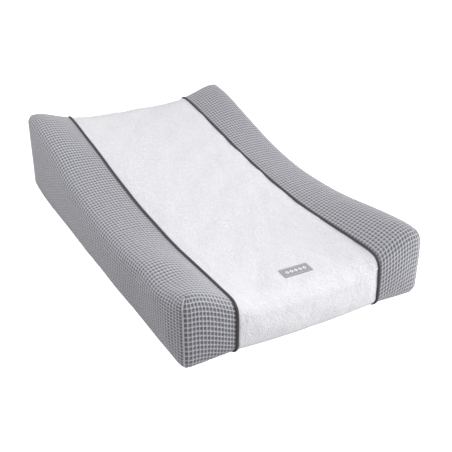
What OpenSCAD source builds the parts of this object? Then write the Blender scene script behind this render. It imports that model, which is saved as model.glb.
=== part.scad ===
// Contoured changing pad: a wedge-shaped foam core with two raised side bolsters, in a zipped
// waterproof case, under a fitted cover with a terry centre, waffle sides and dark piping.
// X runs across the pad, +Y runs from the foot end to the head end, +Z is up, and the origin
// is on the surface that the pad lies on, under the middle of the pad.

/* [Pad] */
// Overall length, foot end to head end
pad_length = 700; // [640:10:760]
// Overall width
pad_width = 440; // [420:10:480]
// Height of the bolster crest at the head end
head_crest_h = 173; // [155:1:195]
// Height of the bolster crest at the foot end
foot_crest_h = 127; // [110:1:140]
// Height of the bolster crest at the waist, its lowest point
waist_crest_h = 101; // [94:1:108]
// Height of the middle of the pad at the head end
head_valley_h = 147; // [125:1:152]
// Height of the middle of the pad at the foot end
foot_valley_h = 76; // [65:1:80]
// Distance of the waist from the middle of the pad, towards the foot end
waist_offset = 75; // [60:5:150]
// Radius of the rolled edge between the top and the walls
rim_r = 18; // [12:1:20]
// Radius of the lower edge, where the cover turns under
lower_edge_r = 22; // [11:1:24]
// How far each corner is drawn back from the middle of the end wall
end_bow = 2; // [0:1:10]
// How far each corner is drawn in from the middle of the side wall
side_bow = 2; // [0:1:6]

/* [Cover] */
// Distance of each piping seam from the centre line
seam_x = 130; // [122:1:145]
// Radius of the piping cord
piping_r = 2.4; // [1.8:0.1:2.4]
// Thickness of the cover fabric
cover_t = 2; // [1.5:0.1:2]
// How far the cover turns under the pad
turn_under = 55; // [45:1:70]
// Width of the elastic casing along the hem
casing_w = 12; // [10:1:16]
// Height of the gathered hem, casing and elastic together
hem_h = 5; // [4.5:0.1:5]
// Width of the flat elastic
elastic_w = 8; // [6:0.5:8]
// Thickness of the flat elastic
elastic_t = 1.4; // [1:0.1:1.6]

/* [Labels] */
// Width of the woven label on the terry panel
label_w = 51; // [40:1:60]
// Length of the woven label along the pad
label_l = 22; // [20:1:30]
// Distance of the woven label's centre from the foot end
label_from_foot = 59; // [50:1:90]
// Distance of the woven label's centre to the right of the centre line
label_offset = 8; // [-10:1:10]
// Width of the blank care tag under the pad
tag_w = 32; // [20:1:40]
// Length of the blank care tag
tag_l = 20; // [15:1:30]

/* [Waterproof case] */
// Thickness of the coated sheet
sheet_t = 1.2; // [0.8:0.1:1.2]
// Thickness of the heat-sealed tape over the case seams
seam_tape_t = 0.4; // [0.2:0.1:0.4]

/* [Foam] */
// Distance of each glued joint between the base and a bolster from the centre line
foam_joint_x = 118; // [100:1:120]

/* [Zip] */
// Length of the zip's chain of teeth
zip_length = 500; // [400:10:520]
// Width of each woven tape
zip_tape_w = 13; // [10:1:16]
// Spacing of the teeth on one side
tooth_pitch = 3; // [2.5:0.5:4]
// Length of the slider
slider_l = 12; // [10:1:14]
// Width of the slider
slider_w = 11; // [10:0.5:11.5]
// Length of the pull tab, from the hinge to its tip
pull_l = 26; // [18:1:34]
// Width of the pull tab
pull_w = 7; // [5:0.5:8]

/* [Hidden] */

half_l = pad_length / 2;
half_w = pad_width / 2;
core_x = half_w - rim_r;
core_y = half_l - rim_r;
running_gap = 0.2;
panel_edge_x = seam_x - piping_r - running_gap;
side_edge_x = seam_x + piping_r + running_gap;
min_column_w = 0.5;
waist_y = -waist_offset;
foot_cradle_power = 1.8;
head_cradle_power = 2.4;
crest_power = 1.36;
valley_power = 1.38;
valley_ramp = 0.37;

// Half of the glue line between the foam base and a bolster
glue_gap = 0.1;

// Layers, from the outside in. Each is [inset from the outer surface, height of its underside].
foot_gap = 0.3;
layer_gap = 0.15;
case_base_h = hem_h + 0.5;
cover_out = [0, foot_gap];
cover_in = [cover_t, hem_h];
seam_tape_out = [cover_t + layer_gap, hem_h + layer_gap];
seam_tape_in = seam_tape_out + [seam_tape_t, layer_gap + 0.1];
case_out = [seam_tape_in[0] + layer_gap, case_base_h];
case_in = case_out + [sheet_t, 1];
foam_slack = 1.4;
foam_out = case_in + [foam_slack, layer_gap];

// Steps along the skin, from the crest (0) over the rolled edge (0 to 1), down the wall (1 to 2),
// round the lower edge (2 to 3) and under the pad to the hem (3 to 4).
all_steps = [0, 0.25, 0.5, 0.75, 1, 2, 2.25, 2.5, 2.75, 3, 4];
body_steps = [0, 0.25, 0.5, 0.75, 1, 2, 2.25, 2.5, 2.75, 3];
rows_n = 20;
corner_n = 4;
cradle_columns = 6;
bolster_columns = 3;
seam_margin = 5;

// Hem outline
hem_gap = 0.6;
hem_x = half_w - turn_under;
hem_y = half_l - turn_under;
hem_corner_r = 20;

// Zip heights, measured up from the surface that the pad lies on
zip_tape_t = 0.6;
zip_tape_z = case_base_h - zip_tape_t;
teeth_t = 2;
teeth_drop = 0.7;
teeth_z = zip_tape_z - teeth_drop;
teeth_root_x = 3.2;
teeth_tip_x = 0.7;
plate_t = 1;
plate_gap = 0.3;
slider_low_z = teeth_z - plate_gap - plate_t;
slider_high_z = teeth_z + teeth_t + plate_gap;
slot_x = slider_w / 2 + 1;
slot_y = zip_length / 2 + 6;
slider_park = 10;
slider_y = zip_length / 2 - slider_park;
pin_r = 0.6;
pin_drop = 1.4;
pin_z = slider_low_z - pin_drop;
pull_eye_r = 1.3;
pull_bore_r = 0.7;
pull_t = 1.2;

// ---------------------------------------------------------------- pad shape

function ease(t) = t * t * (3 - 2 * t);
function clamp01(t) = max(0, min(1, t));

// Height of the bolster crest along the pad
function crest_z(y) =
  let (
    to_foot = clamp01((waist_y - y) / (waist_y + half_l)),
    to_head = clamp01((y - waist_y) / (half_l - waist_y))
  )
  waist_crest_h
    + (foot_crest_h - waist_crest_h) * ease(to_foot)
    + (head_crest_h - waist_crest_h) * ease(pow(to_head, crest_power));

// Height of the middle of the pad along the pad
function valley_z(y) =
  let (t = clamp01((y + half_l) / pad_length))
  foot_valley_h + (head_valley_h - foot_valley_h)
    * (valley_ramp * t + (1 - valley_ramp) * ease(pow(t, valley_power)));

// How sharply the top turns up towards the crests: a flatter floor towards the head end
function cradle_power(y) =
  foot_cradle_power + (head_cradle_power - foot_cradle_power) * (y + half_l) / pad_length;

// Height of the top at a point: a cradle that rises from the valley to the crest
function pad_top(x, y) =
  let (rise = pow(sin(90 * pow(min(1, abs(x) / core_x), cradle_power(y))), 2))
  valley_z(y) + (crest_z(y) - valley_z(y)) * rise;

// The plan is a rectangle whose sides and ends bow outwards a little
function bowed(x, y) =
  let (beyond_seam = clamp01((abs(x) - seam_x - seam_margin) / (half_w - seam_x - seam_margin)))
  [
    x - sign(x) * side_bow * pow(y / half_l, 2) * beyond_seam,
    y - y / half_l * end_bow * pow(x / half_w, 2)
  ];

// ---------------------------------------------------------------- skin

// A station is [core x, core y, outward x, outward y, hem x, hem y]: a point on the edge of the
// flat core, the direction in which the wall faces there, and where the hem lies below it.
function front_stations(xs) = [for (x = xs) [x, -core_y, 0, -1, hem_station_x(x), -hem_y - hem_gap]];
function back_stations(xs) = [for (x = xs) [x, core_y, 0, 1, hem_station_x(x), hem_y + hem_gap]];
function left_stations() =
  [for (i = [1:rows_n - 1])
    let (f = 2 * i / rows_n - 1)
    [-core_x, f * core_y, -1, 0, -hem_x - hem_gap, f * (hem_y - hem_corner_r)]];

// Stations round the left corner at the foot end, when sy is -1, or at the head end, when it is 1
function left_corner_stations(sy) =
  [for (i = [0:corner_n])
    let (
      a = 90 * (sy < 0 ? i : corner_n - i) / corner_n,
      n = [-sin(a), sy * cos(a)],
      hem_r = hem_corner_r + hem_gap
    )
    [-core_x, sy * core_y, n[0], n[1],
      -hem_x + hem_corner_r + hem_r * n[0], sy * (hem_y - hem_corner_r) + hem_r * n[1]]];

// Beyond the seam the hem's stations close up towards the hem's corner
function hem_station_x(x) =
  let (
    corner = hem_x - hem_corner_r,
    start = seam_x + seam_margin,
    past = max(0, abs(x) - start)
  )
  abs(x) <= start ? x : sign(x) * (start + past * (corner - start) / (core_x - start));

// Point of the skin below a station, at a step along the skin, in a layer
function skin_point(st, step, layer) =
  let (
    inset = layer[0],
    top = pad_top(st[0], st[1]) - rim_r,
    rim_in = rim_r - inset,
    low_r = lower_edge_r,
    roll = 90 * (step - 2),
    out =
      step <= 1 ? rim_in * sin(90 * step)
      : step <= 2 ? rim_in
      : rim_r - low_r + (low_r - inset) * (step <= 3 ? cos(roll) : 0),
    z =
      step <= 1 ? top + rim_in * cos(90 * step)
      : step <= 2 ? top + (low_r - top) * (step - 1)
      : step <= 3 ? low_r - (low_r - layer[1]) * sin(roll)
      : layer[1],
    edge = bowed(st[0] + out * st[2], st[1] + out * st[3]),
    under = clamp01(step - 3)
  )
  [edge[0] + (st[4] - edge[0]) * under, edge[1] + (st[5] - edge[1]) * under, z];

// Lines along the pad that every layer shares, so that the layers' facets lie one on another
function half_xs() =
  concat(
    spread(0, foam_joint_x, cradle_columns),
    [panel_edge_x],
    spread(side_edge_x, core_x, bolster_columns)
  );
function mirrored(xs) = [for (x = reversed(xs)) -x];
function side_xs(x) = mirrored(concat([-x], [for (h = half_xs()) if (h > min_column_w - x) h]));
function middle_xs(x) =
  let (half = concat([for (h = half_xs()) if (h < x - min_column_w) h], [x]))
  concat(mirrored([for (i = [1:len(half) - 1]) half[i]]), half);
function whole_xs() = middle_xs(core_x);

function spread(a, b, n) = [for (i = [0:n]) a + (b - a) * i / n];
function top_ys() = [for (i = [0:rows_n]) (2 * i / rows_n - 1) * core_y];
function rings(stations, steps, layer) = [for (st = stations) [for (s = steps) skin_point(st, s, layer)]];
function top_rows(xs, layer) =
  [for (y = top_ys()) [for (x = xs) skin_point([x, y, 0, 0, x, y], 0, layer)]];

// ---------------------------------------------------------------- faces and solids

function reversed(list) = [for (i = [len(list) - 1:-1:0]) list[i]];
function flipped(faces) = [for (f = faces) reversed(f)];
function column(rows, k) = [for (r = rows) r[k]];
function last(list) = list[len(list) - 1];

// Triangles between two lines of points, leaving out those that close to nothing
function strip(a, b) =
  [for (i = [0:len(a) - 2])
    each [
      if (a[i] != a[i + 1] && a[i + 1] != b[i + 1]) [a[i], a[i + 1], b[i + 1]],
      if (a[i] != b[i] && b[i] != b[i + 1]) [a[i], b[i + 1], b[i]]
    ]];
function sheet(rows) = [for (i = [0:len(rows) - 2]) each strip(rows[i], rows[i + 1])];

// A solid from faces that each hold their own corner points
module closed_solid(faces) {
  polyhedron(
    points = [for (f = faces) each f],
    faces = [
      for (i = 0, start = 0; i < len(faces); start = start + len(faces[i]), i = i + 1)
        [for (k = [0:len(faces[i]) - 1]) start + k]
    ]
  );
}

// ---------------------------------------------------------------- pieces of skin

// Stations of the part of the pad left of a line at x
function left_part_stations(x) =
  concat(
    front_stations(reversed(side_xs(x))),
    [for (i = [1:corner_n]) left_corner_stations(-1)[i]],
    left_stations(),
    left_corner_stations(1),
    [for (i = [1:len(side_xs(x)) - 1]) back_stations(side_xs(x))[i]]
  );

// Outline of the cut at the plane through x: up the foot end, along the top and down the head end
function cut_line(x, steps, layer) =
  let (
    foot = rings(front_stations([x]), steps, layer)[0],
    head = rings(back_stations([x]), steps, layer)[0],
    top = column(top_rows([x], layer), 0)
  )
  concat(reversed(foot), [for (i = [1:len(top) - 1]) top[i]], [for (i = [1:len(head) - 1]) head[i]]);

// Fabric panel left of a line at x, from the outer layer to the inner layer
module side_skin(x, outer, inner) {
  stations = left_part_stations(x);
  ring_out = rings(stations, all_steps, outer);
  ring_in = rings(stations, all_steps, inner);
  top_out = top_rows(side_xs(x), outer);
  top_in = top_rows(side_xs(x), inner);
  closed_solid(concat(
    sheet(ring_out), flipped(sheet(ring_in)),
    flipped(sheet(top_out)), sheet(top_in),
    strip(cut_line(x, all_steps, outer), cut_line(x, all_steps, inner)),
    strip(column(ring_in, len(all_steps) - 1), column(ring_out, len(all_steps) - 1))
  ));
}

// Fabric panel between the lines at -x and x
module middle_skin(x, outer, inner) {
  xs = middle_xs(x);
  foot_out = rings(front_stations(reversed(xs)), all_steps, outer);
  foot_in = rings(front_stations(reversed(xs)), all_steps, inner);
  head_out = rings(back_stations(xs), all_steps, outer);
  head_in = rings(back_stations(xs), all_steps, inner);
  k = len(all_steps) - 1;
  closed_solid(concat(
    sheet(foot_out), flipped(sheet(foot_in)),
    sheet(head_out), flipped(sheet(head_in)),
    flipped(sheet(top_rows(xs, outer))), sheet(top_rows(xs, inner)),
    strip(cut_line(x, all_steps, outer), cut_line(x, all_steps, inner)),
    strip(cut_line(-x, all_steps, inner), cut_line(-x, all_steps, outer)),
    strip(column(foot_in, k), column(foot_out, k)),
    strip(column(head_in, k), column(head_out, k))
  ));
}

// Foam left of a line at x, down to the layer's underside
module side_block(x, layer) {
  ring = rings(left_part_stations(x), body_steps, layer);
  closed_solid(concat(
    sheet(ring),
    flipped(sheet(top_rows(side_xs(x), layer))),
    [cut_line(x, body_steps, layer)],
    [reversed(column(ring, len(body_steps) - 1))]
  ));
}

// Foam between the lines at -x and x
module middle_block(x, layer) {
  xs = middle_xs(x);
  foot = rings(front_stations(reversed(xs)), body_steps, layer);
  head = rings(back_stations(xs), body_steps, layer);
  k = len(body_steps) - 1;
  closed_solid(concat(
    sheet(foot), sheet(head), flipped(sheet(top_rows(xs, layer))),
    [cut_line(x, body_steps, layer), reversed(cut_line(-x, body_steps, layer))],
    [reversed(concat(column(foot, k), column(head, k)))]
  ));
}

// Stations all the way round the pad; the first is repeated at the end to close the ring
function round_stations() =
  let (
    left = concat(left_corner_stations(-1), left_stations(), left_corner_stations(1)),
    right = [for (st = reversed(left)) [-st[0], st[1], -st[2], st[3], -st[4], st[5]]],
    xs = whole_xs(),
    n = len(xs)
  )
  concat(
    left,
    [for (i = [1:n - 2]) back_stations(xs)[i]],
    right,
    [for (i = [1:n - 2]) front_stations(reversed(xs))[i]],
    [left[0]]
  );

// Band round the whole pad between two steps along the skin
module band_skin(steps, outer, inner) {
  ring_out = rings(round_stations(), steps, outer);
  ring_in = rings(round_stations(), steps, inner);
  k = len(steps) - 1;
  closed_solid(concat(
    sheet(ring_out), flipped(sheet(ring_in)),
    strip(column(ring_out, 0), column(ring_in, 0)),
    strip(column(ring_in, k), column(ring_out, k))
  ));
}

// Sheet over the whole top, ending part of the way round the rolled edge
module top_skin(steps, outer, inner) {
  ring_out = rings(round_stations(), steps, outer);
  ring_in = rings(round_stations(), steps, inner);
  k = len(steps) - 1;
  closed_solid(concat(
    sheet(ring_out), flipped(sheet(ring_in)),
    flipped(sheet(top_rows(whole_xs(), outer))), sheet(top_rows(whole_xs(), inner)),
    strip(column(ring_in, k), column(ring_out, k))
  ));
}

// Sheet under the whole pad, from part of the way round the lower edge in to the zip's slot
module bottom_skin(steps, outer, inner) {
  ring_out = rings_to_slot(round_stations(), steps, outer);
  ring_in = rings_to_slot(round_stations(), steps, inner);
  k = len(steps);
  closed_solid(concat(
    sheet(ring_out), flipped(sheet(ring_in)),
    strip(column(ring_out, 0), column(ring_in, 0)),
    strip(column(ring_in, k), column(ring_out, k))
  ));
}
function rings_to_slot(stations, steps, layer) =
  let (ring = rings(stations, steps, layer))
  [for (i = [0:len(stations) - 1]) concat(ring[i], [slot_point(stations[i], layer[1])])];
function slot_point(st, z) =
  [sign(st[0]) * min(abs(st[0]), slot_x), sign(st[1]) * min(abs(st[1]), slot_y), z];

// Round cord along the seam at x, from hem to hem over the top
module piping_cord(x) {
  sides = 8;
  proud = 0.4;
  mid = [-proud, foot_gap + piping_r];
  line = cut_line(x, all_steps, mid);
  n = len(line) - 1;
  loops = [
    for (i = [0:n])
      let (
        ahead = line[min(n, i + 1)] - line[max(0, i - 1)],
        along = ahead / norm(ahead),
        up = [0, -along[2], along[1]]
      )
      [for (k = [0:sides])
        line[i] + piping_r * (cos(360 * k / sides) * [1, 0, 0] + sin(360 * k / sides) * up)]
  ];
  closed_solid(concat(
    sheet(loops),
    [[for (k = [sides - 1:-1:0]) loops[0][k]]],
    [[for (k = [0:sides - 1]) last(loops)[k]]]
  ));
}

// Rounded rectangle, centred
module rounded_rect(hx, hy, r) {
  square([2 * hx, 2 * (hy - r)], center = true);
  square([2 * (hx - r), 2 * hy], center = true);
  for (sx = [-1, 1], sy = [-1, 1])
    translate([sx * (hx - r), sy * (hy - r)]) circle(r = r, $fn = 64);
}

// Flat ring that follows the hem, from one inset to another
module hem_ring(inset_a, inset_b) {
  difference() {
    rounded_rect(hem_x - inset_a, hem_y - inset_a, hem_corner_r - inset_a);
    rounded_rect(hem_x - inset_b, hem_y - inset_b, hem_corner_r - inset_b);
  }
}

// ---------------------------------------------------------------- foam core

module foam_base() {
  groove_h = slider_high_z + plate_t + 2 * running_gap;
  color("lightyellow")
    difference() {
      middle_block(foam_joint_x - glue_gap, foam_out);
      translate([-slot_x, -slot_y, 0]) cube([2 * slot_x, 2 * slot_y, groove_h]);
    }
}

module foam_left_bolster() {
  color("khaki") side_block(-foam_joint_x - glue_gap, foam_out);
}

module foam_right_bolster() {
  color("khaki") mirror([1, 0, 0]) side_block(-foam_joint_x - glue_gap, foam_out);
}

// ---------------------------------------------------------------- waterproof case

module case_top_sheet() {
  color("white") top_skin([0, 0.25, 0.5], case_out, case_in);
}

module case_side_band() {
  color("white") band_skin([0.5, 0.75, 1, 2, 2.25, 2.5], case_out, case_in);
}

module case_bottom_sheet() {
  color("white") bottom_skin([2.5, 2.75, 3], case_out, case_in);
}

module case_top_seam_tape() {
  color("gainsboro") band_skin([0.25, 0.5, 0.75], seam_tape_out, seam_tape_in);
}

module case_bottom_seam_tape() {
  color("gainsboro") band_skin([2.25, 2.5, 2.75], seam_tape_out, seam_tape_in);
}

// ---------------------------------------------------------------- zip

module zip_right_tape() {
  color("whitesmoke")
    translate([teeth_root_x, -zip_length / 2 - zip_tape_w / 2, zip_tape_z])
      cube([zip_tape_w, zip_length + zip_tape_w, zip_tape_t]);
}

module zip_left_tape() {
  mirror([1, 0, 0]) zip_right_tape();
}

// One side's coil, as a comb whose teeth point at the centre line
module zip_comb(shift) {
  count = floor((zip_length - tooth_pitch) / tooth_pitch);
  start = -zip_length / 2 + shift;
  back = [[teeth_root_x, start + count * tooth_pitch], [teeth_root_x, start]];
  spine_w = 0.8;
  root = teeth_root_x - spine_w;
  step = tooth_pitch / 5;
  teeth = [
    for (i = [0:count - 1])
      let (y = start + i * tooth_pitch)
      each [
        [root, y], [teeth_tip_x, y + step],
        [teeth_tip_x, y + 3 * step], [root, y + 4 * step]
      ]
  ];
  translate([0, 0, teeth_z])
    linear_extrude(height = teeth_t)
      polygon(concat(teeth, back));
}

module zip_right_teeth() {
  color("silver") zip_comb(0);
}

module zip_left_teeth() {
  color("silver") mirror([1, 0, 0]) zip_comb(tooth_pitch / 2);
}

module zip_end_stops() {
  stop_l = 4;
  stop_gap = 0.5;
  color("silver")
    for (sy = [-1, 1])
      translate([-teeth_root_x, sy * (zip_length / 2 + stop_l / 2 + stop_gap) - stop_l / 2, teeth_z])
        cube([2 * teeth_root_x, stop_l, teeth_t]);
}

// Outline of a slider plate: a rectangle with round corners, narrower at the closed end
module slider_plate_outline() {
  corner_r = 2;
  narrowing = 1;
  hull() {
    for (sx = [-1, 1]) {
      translate([sx * (slider_w / 2 - corner_r), slider_l / 2 - corner_r])
        circle(r = corner_r, $fn = 32);
      translate([sx * (slider_w / 2 - corner_r - narrowing), -slider_l / 2 + corner_r])
        circle(r = corner_r, $fn = 32);
    }
  }
}

module zip_slider() {
  flange_h = 0.6;
  flange_t = 0.8;
  flange_x = slider_w / 2 - 1.5;
  post_w = 0.8;
  post_l = 5;
  ear_t = 0.8;
  ear_x = 2.7;
  ear_l = 3;
  color("gray")
    translate([0, slider_y, 0])
      union() {
        translate([0, 0, slider_low_z]) linear_extrude(height = plate_t) slider_plate_outline();
        translate([0, 0, slider_high_z]) linear_extrude(height = plate_t) slider_plate_outline();
        // Post that joins the plates between the two rows of teeth
        translate([-post_w / 2, -post_l / 2, slider_low_z + plate_t / 2])
          cube([post_w, post_l, slider_high_z - slider_low_z]);
        // Side flanges that keep the teeth in the channel
        for (sx = [-1, 1])
          translate([sx * flange_x - flange_t / 2, -slider_l / 4, slider_low_z + plate_t / 2])
            cube([flange_t, slider_l / 2, plate_t / 2 + flange_h]);
        // Ears and the pin that the pull tab turns on
        for (sx = [-1, 1])
          translate([sx * (ear_x + ear_t / 2) - ear_t / 2, -ear_l / 2, pin_z - pin_r])
            cube([ear_t, ear_l, slider_low_z + plate_t / 2 - pin_z + pin_r]);
        translate([-ear_x - ear_t / 2, 0, pin_z])
          rotate([0, 90, 0]) cylinder(r = pin_r, h = 2 * ear_x + ear_t, $fn = 32);
      }
}

module zip_pull() {
  eye_w = 5;
  hole_r = 1.6;
  hole_from_tip = 4;
  neck_w = 3.4;
  neck_l = 7;
  tip_r = 1.5;
  color("dimgray")
    translate([0, slider_y, pin_z])
      difference() {
        union() {
          translate([-eye_w / 2, 0, 0])
            rotate([0, 90, 0]) cylinder(r = pull_eye_r, h = eye_w, $fn = 32);
          translate([0, 0, -pull_t / 2])
            linear_extrude(height = pull_t) {
              translate([-neck_w / 2, -neck_l]) square([neck_w, neck_l]);
              hull() {
                translate([0, -neck_l]) circle(r = neck_w / 2, $fn = 32);
                for (sx = [-1, 1])
                  translate([sx * (pull_w / 2 - tip_r), -pull_l + tip_r])
                    circle(r = tip_r, $fn = 32);
              }
            }
        }
        translate([-eye_w, 0, 0])
          rotate([0, 90, 0]) cylinder(r = pull_bore_r, h = 2 * eye_w, $fn = 32);
        translate([0, -pull_l + hole_from_tip, -pull_t])
          cylinder(r = hole_r, h = 2 * pull_t, $fn = 32);
      }
}

// ---------------------------------------------------------------- fitted cover

module cover_centre_panel() {
  color("white") middle_skin(panel_edge_x, cover_out, cover_in);
}

module cover_left_panel() {
  color("darkgray") side_skin(-side_edge_x, cover_out, cover_in);
}

module cover_right_panel() {
  color("darkgray") mirror([1, 0, 0]) side_skin(-side_edge_x, cover_out, cover_in);
}

module left_piping() {
  color("dimgray") piping_cord(-seam_x);
}

module right_piping() {
  color("dimgray") piping_cord(seam_x);
}

// Raised seam down each corner, where the panel's end wall meets its side wall
module corner_seams() {
  steps = [0.25, 0.5, 0.75, 1, 2, 2.25, 2.5];
  outer = [-0.9, -0.6];
  inner = [-0.2, 0.1];
  rib = [for (st = left_corner_stations(-1)) if (st[2] != 0 && st[3] != 0) st];
  middle = rib[floor(len(rib) / 2)];
  turn = 3;
  edges = [
    for (a = [-turn, turn])
      [middle[0], middle[1],
        middle[2] * cos(a) - middle[3] * sin(a), middle[2] * sin(a) + middle[3] * cos(a),
        middle[4], middle[5]]
  ];
  ring_out = rings(edges, steps, outer);
  ring_in = rings(edges, steps, inner);
  k = len(steps) - 1;
  for (sx = [0, 1], sy = [0, 1])
    color("slategray")
      mirror([sx, 0, 0])
        if (sy == 0)
          closed_solid(seam_rib_faces(ring_out, ring_in, k));
        else
          closed_solid(flipped(seam_rib_faces(
            to_head_end(edges, steps, outer), to_head_end(edges, steps, inner), k)));
}

function to_head_end(edges, steps, layer) =
  rings([for (st = edges) [st[0], -st[1], st[2], -st[3], st[4], -st[5]]], steps, layer);

function seam_rib_faces(ring_out, ring_in, k) =
  flipped(concat(
    sheet(ring_out), flipped(sheet(ring_in)),
    strip(column(ring_out, 0), column(ring_in, 0)),
    strip(column(ring_in, k), column(ring_out, k)),
    strip(ring_in[0], ring_out[0]),
    strip(ring_out[1], ring_in[1])
  ));

// Tube of fabric round the opening of the cover, with the gap that the elastic goes in by
module hem_casing() {
  wall = 1.4;
  slit_w = 20;
  color("lightgray")
    difference() {
      linear_extrude(height = hem_h) hem_ring(0, casing_w);
      translate([0, 0, wall]) linear_extrude(height = hem_h - 2 * wall) hem_ring(wall, casing_w - wall);
      translate([-slit_w / 2, hem_y - casing_w - 1, wall]) cube([slit_w, 1 + 2 * wall, hem_h - 2 * wall]);
    }
}

module hem_elastic() {
  inset = (casing_w - elastic_w) / 2;
  color("ivory")
    translate([0, 0, (hem_h - elastic_t) / 2])
      linear_extrude(height = elastic_t) hem_ring(inset, casing_w - inset);
}

// ---------------------------------------------------------------- labels

module woven_label() {
  y0 = -half_l + label_from_foot;
  label_t = 1;
  above_panel = 0.5;
  xs = spread(label_offset - label_w / 2, label_offset + label_w / 2, 8);
  ys = spread(y0 - label_l / 2, y0 + label_l / 2, 4);
  under = [-above_panel, 0];
  over = [-above_panel - label_t, 0];
  low = [for (y = ys) [for (x = xs) skin_point([x, y, 0, 0, x, y], 0, under)]];
  high = [for (y = ys) [for (x = xs) skin_point([x, y, 0, 0, x, y], 0, over)]];
  k = len(xs) - 1;
  color("gray")
    closed_solid(concat(
      flipped(sheet(high)), sheet(low),
      strip(high[0], low[0]), strip(last(low), last(high)),
      strip(column(low, 0), column(high, 0)), strip(column(high, k), column(low, k))
    ));
}

module care_tag() {
  tag_t = 0.4;
  tag_x = 60;
  color("white")
    translate([tag_x, hem_y - casing_w - tag_l, hem_h - tag_t - running_gap])
      cube([tag_w, tag_l, tag_t]);
}

foam_base();
foam_left_bolster();
foam_right_bolster();
case_top_sheet();
case_side_band();
case_bottom_sheet();
case_top_seam_tape();
case_bottom_seam_tape();
zip_left_tape();
zip_right_tape();
zip_left_teeth();
zip_right_teeth();
zip_end_stops();
zip_slider();
zip_pull();
cover_centre_panel();
cover_left_panel();
cover_right_panel();
left_piping();
right_piping();
corner_seams();
hem_casing();
hem_elastic();
woven_label();
care_tag();
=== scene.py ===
# Changing pad: the looks. Fabric, foam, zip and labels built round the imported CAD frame, in metres.
import math

import bpy
import numpy as np
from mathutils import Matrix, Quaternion, Vector


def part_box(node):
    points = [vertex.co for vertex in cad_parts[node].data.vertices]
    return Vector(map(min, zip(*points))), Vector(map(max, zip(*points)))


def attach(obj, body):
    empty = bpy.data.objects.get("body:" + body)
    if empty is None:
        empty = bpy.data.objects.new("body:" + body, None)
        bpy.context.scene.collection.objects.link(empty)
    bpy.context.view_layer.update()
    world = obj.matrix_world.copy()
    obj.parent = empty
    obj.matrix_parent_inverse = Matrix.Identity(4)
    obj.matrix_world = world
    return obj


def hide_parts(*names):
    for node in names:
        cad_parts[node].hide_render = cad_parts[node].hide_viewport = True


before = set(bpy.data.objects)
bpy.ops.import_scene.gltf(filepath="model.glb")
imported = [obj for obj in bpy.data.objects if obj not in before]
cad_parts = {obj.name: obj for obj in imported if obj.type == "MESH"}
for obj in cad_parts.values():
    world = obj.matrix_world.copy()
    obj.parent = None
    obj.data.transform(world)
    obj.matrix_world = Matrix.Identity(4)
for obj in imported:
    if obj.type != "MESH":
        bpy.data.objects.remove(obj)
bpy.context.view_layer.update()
scene = bpy.context.scene
QUARTER = math.pi / 2
ROOT_HALF = math.sqrt(0.5)

# ------------------------------------------------------------------ camera

CAMERA_AZIMUTH = -29.53
CAMERA_ELEVATION = 28.18
CAMERA_ROLL = -0.38
CAMERA_PLACE = Vector((-0.5885, -1.1247, 0.7034))
CAMERA_LENS = 61.6
SENSOR = 36.0


def make_camera():
    """The camera looks along a direction given by its azimuth, elevation and roll, in degrees."""
    azimuth, elevation = math.radians(CAMERA_AZIMUTH), math.radians(CAMERA_ELEVATION)
    back = Vector((
        math.sin(azimuth) * math.cos(elevation),
        -math.cos(azimuth) * math.cos(elevation),
        math.sin(elevation),
    ))
    data = bpy.data.cameras.new("camera")
    data.lens, data.sensor_width = CAMERA_LENS, SENSOR
    camera = bpy.data.objects.new("camera", data)
    scene.collection.objects.link(camera)
    camera.rotation_mode = "QUATERNION"
    roll = Quaternion(back, math.radians(-CAMERA_ROLL))
    camera.rotation_quaternion = roll @ (-back).to_track_quat("-Z", "Y")
    camera.location = CAMERA_PLACE
    scene.camera = camera


make_camera()

# ------------------------------------------------------------------ sizes, as in the CAD model

HALF_LENGTH = 0.350
HALF_WIDTH = 0.220
RIM_R = 0.018
LOW_R = 0.022
CORE_X = HALF_WIDTH - RIM_R
CORE_Y = HALF_LENGTH - RIM_R
WAIST_Y = -0.075
WAIST_CREST, FOOT_CREST, HEAD_CREST = 0.101, 0.127, 0.173
FOOT_VALLEY, HEAD_VALLEY = 0.076, 0.147
FOOT_CRADLE_POWER, HEAD_CRADLE_POWER = 1.8, 2.4
CREST_POWER, VALLEY_POWER, VALLEY_RAMP = 1.36, 1.38, 0.37
BOW = 0.002
PAD_CENTRE = np.array([0, 0, 0.05])
SEAM_X = 0.130
SEAM_MARGIN = 0.005
FOOT_GAP = 0.0003
HEM_IN = 0.055
HEM_X = HALF_WIDTH - HEM_IN
HEM_Y = HALF_LENGTH - HEM_IN
HEM_CORNER_R = 0.020
TUCK = 0.002
CASING_W = 0.012
HEM_H = 0.005

# Fabric: the seams, the weave's cells and relief, and how the soft layers settle
PIPING_R = 0.0024
PIPING_PROUD = 0.0004
DITCH_DEPTH, DITCH_WIDTH = 0.0012, 0.004
PANEL_EDGE = 0.001
RIDGE_R = 0.0013
SEAM_STEP = 0.002
CELLS_TO_CREST = 13
CELL_W = (CORE_X - SEAM_X - PANEL_EDGE) / CELLS_TO_CREST
CELLS_ALONG = 87
CELL_L = 2 * CORE_Y / CELLS_ALONG
END_CELL = 0.0081
PER_CELL = 4
CORNER_CELLS = 2
RIDGE_HALF = 0.29
WAFFLE_DEPTH = 0.0024
TERRY_GRID = 0.0022
NAP = 0.0003
GATHER_WAVE = 0.0095
GATHER_DEPTH = 0.0022
UNDER_LIFT = 0.0005
HEAD_CORNER_LIFT, CORNER_REACH, LIFT_HEIGHT = 0.012, 0.050, 0.06
SEAM_LIFT, SEAM_PULL, SEAM_REACH = 0.0045, 0.002, 0.05
RIM_SLACK, RIM_REACH, RIGHT_SLACK = 0.0030, 0.020, 0.45
DENT, DENT_Y, DENT_LENGTH, DENT_WIDTH = 0.0100, -0.270, 0.045, 0.036
TIP_SLACK, TIP_REACH = 0.0012, 0.035
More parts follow.
